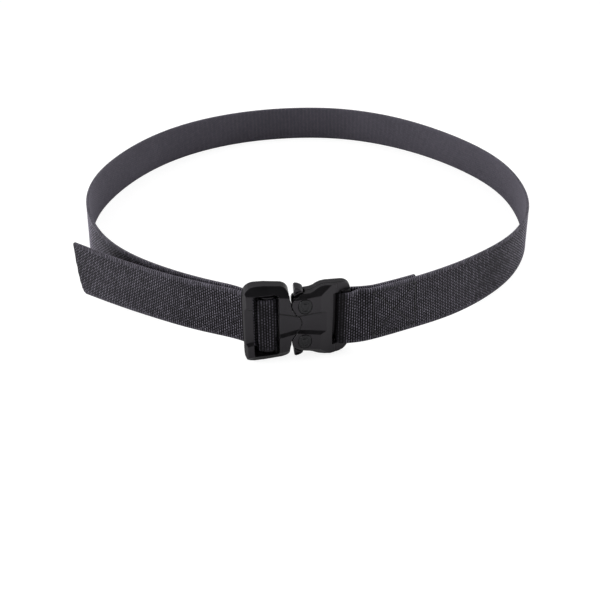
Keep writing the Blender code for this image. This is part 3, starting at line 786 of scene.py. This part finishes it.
def thread_material():
    """Bonded black thread: twisted, with a soft shine."""
    n = Nodes(bpy.data.materials.new("black bonded thread"))
    where = n.where()
    inputs = {"Vector": where, "Scale": 900.0, "Distortion": 1.5}
    twist = n.add("ShaderNodeTexWave", inputs, bands_direction="DIAGONAL").outputs["Fac"]
    mottle = n.noise(where, scale=500.0)
    colour = n.mix(n.math("MULTIPLY", twist, THREAD_TWIST), THREAD_DARK, THREAD_LIGHT)
    colour = n.mix(n.math("MULTIPLY", mottle, THREAD_UNEVEN), colour, THREAD_MOTTLE)
    n.set(Base_Color=colour, Roughness=0.42, Normal=n.bump(twist, strength=0.5, distance=0.00008))
    return n.owner


def plastic_material(name, base, roughness):
    """Satin moulded plastic: fine spark-eroded grain, faint flow marks, edges rubbed smoother and lighter in
    patches, the lighter edges partly wear and partly painted highlight.
    """
    n = Nodes(bpy.data.materials.new(name))
    where = n.where()
    rounded, edge = n.edges(PLASTIC_ROUNDING, PLASTIC_EDGE_START)
    patches = n.ramp(n.noise(where, scale=260.0, detail=4.0, rough=0.6), *WEAR_AND_HIGHLIGHT_PATCHES)
    # Edges lighter in patches: partly wear, partly painted edge highlight
    worn = n.math("MULTIPLY", edge, patches)
    flow = n.noise(where, scale=90.0, detail=3.0)
    flow_mark = tuple(level * FLOW_LIGHTER for level in base[:3]) + (1.0,)
    colour = n.mix(n.ramp(flow, *MOTTLE_RANGE), base, flow_mark)
    colour = n.mix(worn, colour, PLASTIC_WORN_HIGHLIGHT)

    flow_rough = n.ramp(flow, *MOTTLE_RANGE, roughness - FLOW_SMOOTHER, roughness + FLOW_ROUGHER)
    speck = n.math("MULTIPLY", n.noise(where, scale=2600.0), SPECK_ROUGHER)
    rough = n.math("SUBTRACT", n.math("ADD", flow_rough, speck), n.math("MULTIPLY", worn, WEAR_SMOOTHER))

    grain = n.add("ShaderNodeTexVoronoi", {"Vector": where, "Scale": 3600.0}, feature="SMOOTH_F1").outputs[0]
    ripples = n.noise(where, scale=130.0, detail=1.0)
    normal = n.bump(ripples, strength=0.12, distance=0.0004, normal=rounded)
    normal = n.bump(grain, strength=0.5, distance=0.00003, normal=normal)
    n.set(Base_Color=colour, Roughness=rough, Normal=normal)
    n.set(Specular_Tint=PLASTIC_SHINE, Specular_IOR_Level=0.35)
    return n.owner


def rivet_material(name, side):
    """Blackened turned steel: faint rings about the rivet's centre, bright only on the worn rims."""
    n = Nodes(bpy.data.materials.new(name))
    where = n.where()
    offset = n.vector_math("SUBTRACT", where, tuple(at(RIVET_X, RIVET_W, side * RIVET_Z)))
    radius = n.vector_math("LENGTH", n.vector_math("MULTIPLY", offset, (1.0, 0.0, RIVET_OVAL)))
    rings = n.math("SINE", n.math("MULTIPLY", radius, 2 * math.pi / RIVET_RING))
    mottle = n.noise(where, scale=700.0, detail=3.0)
    rounded, edge = n.edges(RIVET_ROUNDING, RIVET_WEAR_START)
    colour = n.mix(mottle, RIVET_DARK, RIVET_LIGHT)
    colour = n.mix(n.math("MULTIPLY", edge, RIVET_WEAR), colour, RIVET_WORN)
    rough = n.math("MULTIPLY_ADD", rings, RING_ROUGHER, n.ramp(mottle, *MOTTLE_RANGE, *RIVET_ROUGHNESS))
    normal = n.bump(rings, strength=0.25, distance=0.00002, normal=rounded)
    n.set(Base_Color=colour, Roughness=rough, Metallic=0.85, Normal=normal)
    return n.owner


def dress(node, mat):
    """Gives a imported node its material. The mesh stays as it is."""
    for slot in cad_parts[node].material_slots:
        slot.link = "OBJECT"
        slot.material = mat


# Floor, light and camera

def make_floor():
    """A grey table top that glows white towards the camera."""
    n = Nodes(bpy.data.materials.new("white studio floor"))
    tone = n.noise(n.where(), scale=1.5)

    # The glow that makes the floor white lights no cloth, and its mirror image fades close to the belt
    seen = n.add("ShaderNodeLightPath")
    inputs = {"Distance": FLOOR_SHADE_REACH}
    open_sky = n.add("ShaderNodeAmbientOcclusion", inputs, samples=FLOOR_SHADE_SAMPLES).outputs["AO"]
    mirrored = n.math("POWER", open_sky, FLOOR_SHADE_POWER)
    mirrored = n.math("MULTIPLY", mirrored, n.math("SUBTRACT", 1.0, seen.outputs["Is Diffuse Ray"]))
    glow = n.blend(seen.outputs["Is Camera Ray"], mirrored, FLOOR_GLOW)
    n.set(Base_Color=n.mix(tone, FLOOR_DARK, FLOOR_LIGHT), Roughness=0.9, Specular_IOR_Level=0.1)
    n.set(Emission_Color=WHITE, Emission_Strength=glow)

    corners = ((-1, -1), (1, -1), (1, 1), (-1, 1))
    points = [(x * FLOOR_HALF, y * FLOOR_HALF, -FLOOR_DROP) for x, y in corners]
    mesh_object("studio_floor", points, [(0, 1, 2, 3)], n.owner)


def make_world():
    """White all round, dark in the part of the studio over the table's front edge and dim low at the back."""
    world = bpy.data.worlds.new("studio")
    bpy.context.scene.world = world
    n = Nodes(world, "Background")
    way = n.add("ShaderNodeTexCoord").outputs["Generated"]
    levels = []
    for towards, start, full, least in (WORLD_FRONT, WORLD_BACK):
        facing = n.vector_math("DOT_PRODUCT", way, Vector(towards).normalized())
        levels.append(n.ramp(facing, start, full, 1.0, least))
    seen = n.add("ShaderNodeLightPath")
    fill = n.blend(seen.outputs["Is Diffuse Ray"], 1.0, WORLD_FILL)
    dimmed = n.math("MULTIPLY", n.math("MULTIPLY", *levels), fill)
    n.set(Color=WHITE, Strength=n.blend(seen.outputs["Is Camera Ray"], dimmed, 1.0))


def make_light(name, place, target, size, power):
    """A softbox that faces its target."""
    light = bpy.data.lights.new(name, "AREA")
    light.shape = "RECTANGLE"
    light.size, light.size_y = size
    light.energy = power
    obj = bpy.data.objects.new(name, light)
    obj.location = place
    obj.rotation_euler = (Vector(target) - Vector(place)).to_track_quat("-Z", "Y").to_euler()
    bpy.context.scene.collection.objects.link(obj)


def make_camera():
    """The photograph's camera."""
    camera = bpy.data.cameras.new("photo_view")
    camera.sensor_fit = "HORIZONTAL"
    camera.sensor_width = SENSOR
    camera.lens = SENSOR * CAMERA_FOCAL
    camera.shift_y = FRAME_SHIFT
    camera.clip_start, camera.clip_end = CAMERA_NEAR, CAMERA_FAR
    yaw, pitch = math.radians(CAMERA_YAW), math.radians(CAMERA_PITCH)
    ahead = Vector((math.sin(yaw) * math.cos(pitch), math.cos(yaw) * math.cos(pitch), -math.sin(pitch)))
    right = ahead.cross(Vector((0, 0, 1))).normalized()
    up = right.cross(ahead)
    obj = bpy.data.objects.new("photo_view", camera)
    turn = Matrix((right, up, -ahead)).transposed().to_4x4()
    obj.matrix_world = Matrix.Translation(CAMERA_AT) @ turn
    bpy.context.scene.collection.objects.link(obj)
    bpy.context.scene.camera = obj


# The scene

make_camera()
make_floor()
make_world()
for softbox in SOFTBOXES:
    make_light(*softbox)

strap = Strap()
sewing = box_lines(strap)
webbing = make_webbing(strap, sewing, webbing_material())
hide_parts("belt_webbing")
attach(webbing, "belt")

stitches = make_stitches(strap, sewing, thread_material())
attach(stitches, "belt")

dress("clip_body", plastic_material("satin plastic, clip", PLASTIC_BLACK, roughness=0.36))
dress("adjuster_frame", plastic_material("satin plastic, frame", PLASTIC_BLACK, roughness=0.36))
dress("adjuster_bar", plastic_material("satin plastic, bar", PLASTIC_BLACK, roughness=0.34))
for word, side in (("upper", 1), ("lower", -1)):
    lever_look = plastic_material(f"satin plastic, {word} lever", LEVER_BLACK, roughness=0.34)
    dress(f"release_lever_{word}", lever_look)
    dress(f"clip_rivet_{word}", rivet_material(f"blackened rivet, {word}", side))

bpy.context.scene.view_settings.view_transform = "Standard"
